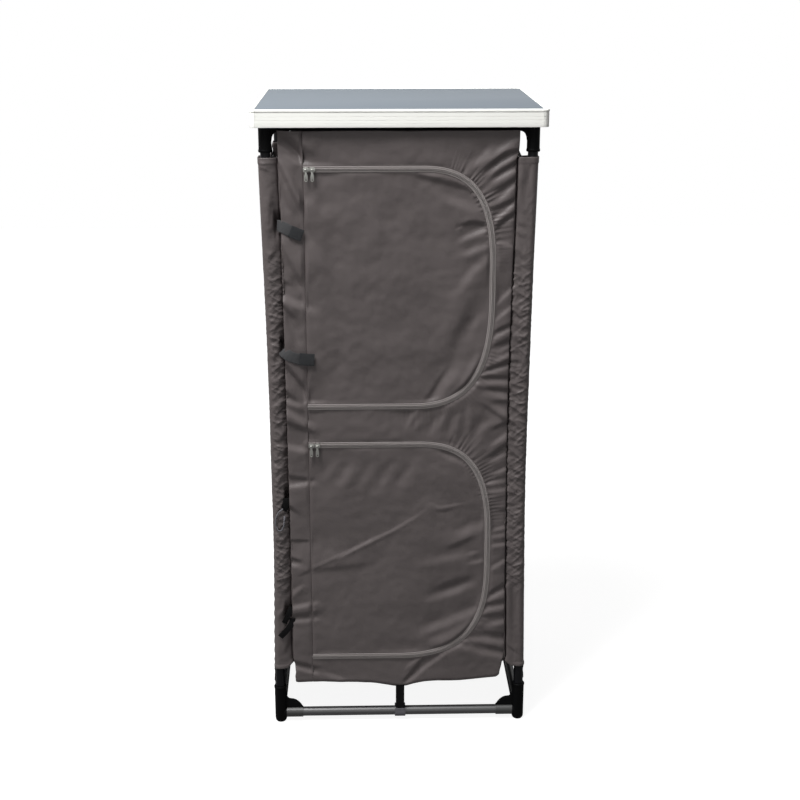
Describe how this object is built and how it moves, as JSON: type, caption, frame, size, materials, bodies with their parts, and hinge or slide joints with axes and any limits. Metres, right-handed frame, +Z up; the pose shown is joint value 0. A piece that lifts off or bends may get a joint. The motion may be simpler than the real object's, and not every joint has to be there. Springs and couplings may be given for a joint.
{
  "type": "camping wardrobe",
  "caption": "Free-standing camping wardrobe: fabric cabinet with two D-shaped zipped doors on a plug-in steel tube frame, under a rigid tabletop with a ribbed rim.",
  "frame": {"origin": "on the floor under the middle of the wardrobe", "axes": "+Z up, +X to the right seen from the front, the doors face -Y"},
  "size_m": [0.6, 0.5, 1.38],
  "materials": {
    "laminate": "smooth grey laminate on board",
    "rim": "off-white extruded profile",
    "steel": "satin black powder coat",
    "moulding": "fine-grained black moulding",
    "cloth": "coated plain-weave polyester, dark warm grey",
    "tape": "woven zip tape with moulded coil",
    "webbing": "woven strap",
    "nickel": "nickel-plated die casting"
  },
  "bodies": {
    "root": {"post_front_left": "steel", "post_front_right": "steel", "post_back_left": "steel", "post_back_right": "steel", "foot_front_left": "moulding", "foot_front_right": "moulding", "foot_back_left": "moulding", "foot_back_right": "moulding", "top_connector_front_left": "moulding", "top_connector_front_right": "moulding", "top_connector_back_left": "moulding", "top_connector_back_right": "moulding", "top_bar_front": "steel", "top_bar_back": "steel", "top_bar_left": "steel", "top_bar_right": "steel", "bottom_bar_front": "steel", "bottom_bar_back": "steel", "bottom_bar_left": "steel", "bottom_bar_right": "steel", "hanging_rail": "steel", "post_sleeve_front_left": "cloth", "post_sleeve_front_right": "cloth", "post_sleeve_back_left": "cloth", "post_sleeve_back_right": "cloth", "front_left_strip": "cloth", "front_panel": "cloth", "left_panel": "cloth", "right_panel": "cloth", "back_panel": "cloth", "middle_shelf": "cloth", "floor_panel": "cloth", "upper_zip_frame_tape": "tape", "lower_zip_frame_tape": "tape", "bottom_strap": "webbing", "tie_strap_1": "webbing", "tie_strap_2": "webbing", "tie_strap_3": "webbing", "tie_strap_4": "webbing"},
    "tabletop": {"tabletop_board": "laminate", "tabletop_rim_front": "rim", "tabletop_rim_right": "rim", "tabletop_rim_back": "rim", "tabletop_rim_left": "rim", "tabletop_corner_front_left": "rim", "tabletop_corner_front_right": "rim", "tabletop_corner_back_left": "rim", "tabletop_corner_back_right": "rim"},
    "upper_door": {"upper_door": "cloth", "upper_zip_door_tape": "tape", "upper_slider_left": "nickel"},
    "upper_slider_right": {"upper_slider_right": "nickel"},
    "upper_pull_left": {"upper_pull_left": "nickel"},
    "upper_pull_right": {"upper_pull_right": "nickel"},
    "lower_door": {"lower_door": "cloth", "lower_zip_door_tape": "tape", "lower_slider_left": "nickel"},
    "lower_slider_right": {"lower_slider_right": "nickel"},
    "lower_pull_left": {"lower_pull_left": "nickel"},
    "lower_pull_right": {"lower_pull_right": "nickel"}
  },
  "joints": [
    {"name": "tabletop_lift", "type": "slide", "parent": "root", "child": "tabletop", "axis": [0, 0, 1], "range_m": [0, 0.08]},
    {"name": "upper_door_swing", "type": "hinge", "parent": "root", "child": "upper_door", "pos_m": [-0.195, -0.2388, 1.0085], "axis": [0, 0, -1], "range_deg": [0, 140]},
    {"name": "lower_door_swing", "type": "hinge", "parent": "root", "child": "lower_door", "pos_m": [-0.195, -0.2388, 0.4195], "axis": [0, 0, -1], "range_deg": [0, 140]},
    {"name": "upper_slider_run", "type": "slide", "parent": "upper_door", "child": "upper_slider_right", "axis": [1, 0, 0], "range_m": [0, 0.22]},
    {"name": "lower_slider_run", "type": "slide", "parent": "lower_door", "child": "lower_slider_right", "axis": [1, 0, 0], "range_m": [0, 0.215]},
    {"name": "upper_pull_left_flip", "type": "hinge", "parent": "upper_door", "child": "upper_pull_left", "pos_m": [-0.189, -0.241, 1.26], "axis": [-1, 0, 0], "range_deg": [0, 175]},
    {"name": "upper_pull_right_flip", "type": "hinge", "parent": "upper_slider_right", "child": "upper_pull_right", "pos_m": [-0.1763, -0.241, 1.26], "axis": [-1, 0, 0], "range_deg": [0, 175]},
    {"name": "lower_pull_left_flip", "type": "hinge", "parent": "lower_door", "child": "lower_pull_left", "pos_m": [-0.189, -0.241, 0.671], "axis": [-1, 0, 0], "range_deg": [0, 175]},
    {"name": "lower_pull_right_flip", "type": "hinge", "parent": "lower_slider_right", "child": "lower_pull_right", "pos_m": [-0.1763, -0.241, 0.671], "axis": [-1, 0, 0], "range_deg": [0, 175]}
  ]
}
